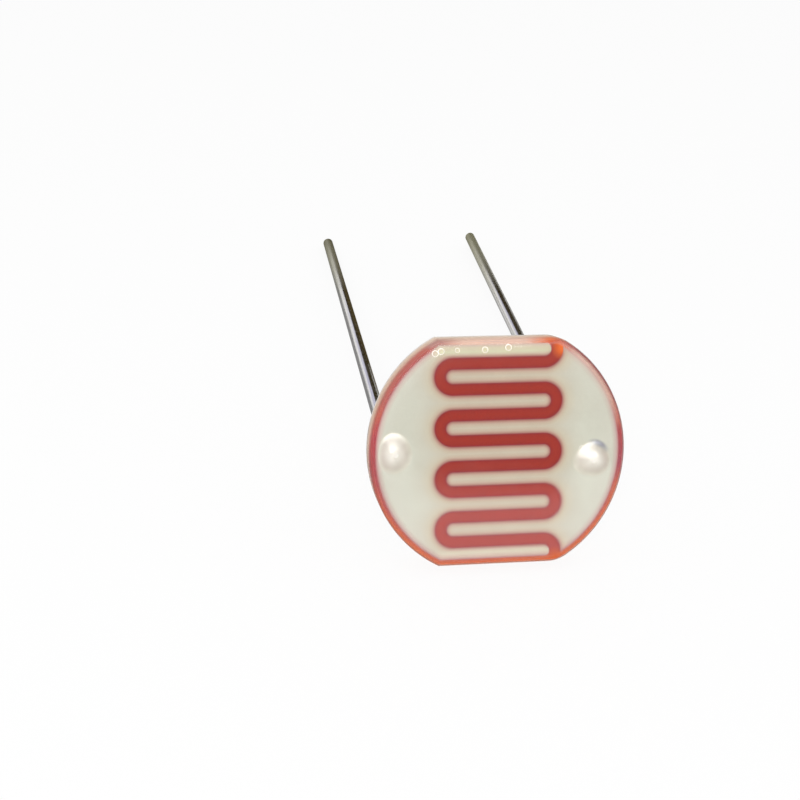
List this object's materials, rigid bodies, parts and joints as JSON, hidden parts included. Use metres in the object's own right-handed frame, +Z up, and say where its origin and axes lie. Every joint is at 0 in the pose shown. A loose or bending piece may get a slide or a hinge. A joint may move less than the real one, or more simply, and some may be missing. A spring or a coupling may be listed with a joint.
{
  "type": "photoresistor",
  "caption": "Flat round light-dependent resistor: a ceramic disc with flats, red film under interleaved metal combs sealed in clear resin, and straight wire leads behind.",
  "frame": {"origin": "bottom middle of the part's box as it lies on a surface, on the lower back edge of the coat and the tips of the leads", "axes": "+Z up from the surface; +Y along the leads, away from the light-sensing face, which looks towards -Y and leans back; +X to the right of someone who looks at the face"},
  "size_m": [0.012, 0.0392, 0.0103],
  "materials": {
    "ceramic": "matt fired alumina",
    "cds_film": "matt sintered cadmium sulphide, brick red on the face and orange at the rim",
    "comb_metal": "matt evaporated metal",
    "contact_paste": "glossy metal-filled paste",
    "tinned_wire": "drawn and tinned wire, slightly tarnished",
    "clear_resin": "glossy clear epoxy resin"
  },
  "bodies": {
    "root": {"ceramic_substrate": "ceramic", "photoconductive_film": "cds_film", "left_electrode": "comb_metal", "right_electrode": "comb_metal", "left_contact": "contact_paste", "right_contact": "contact_paste", "left_lead": "tinned_wire", "right_lead": "tinned_wire", "clear_coat": "clear_resin"}
  },
  "joints": []
}
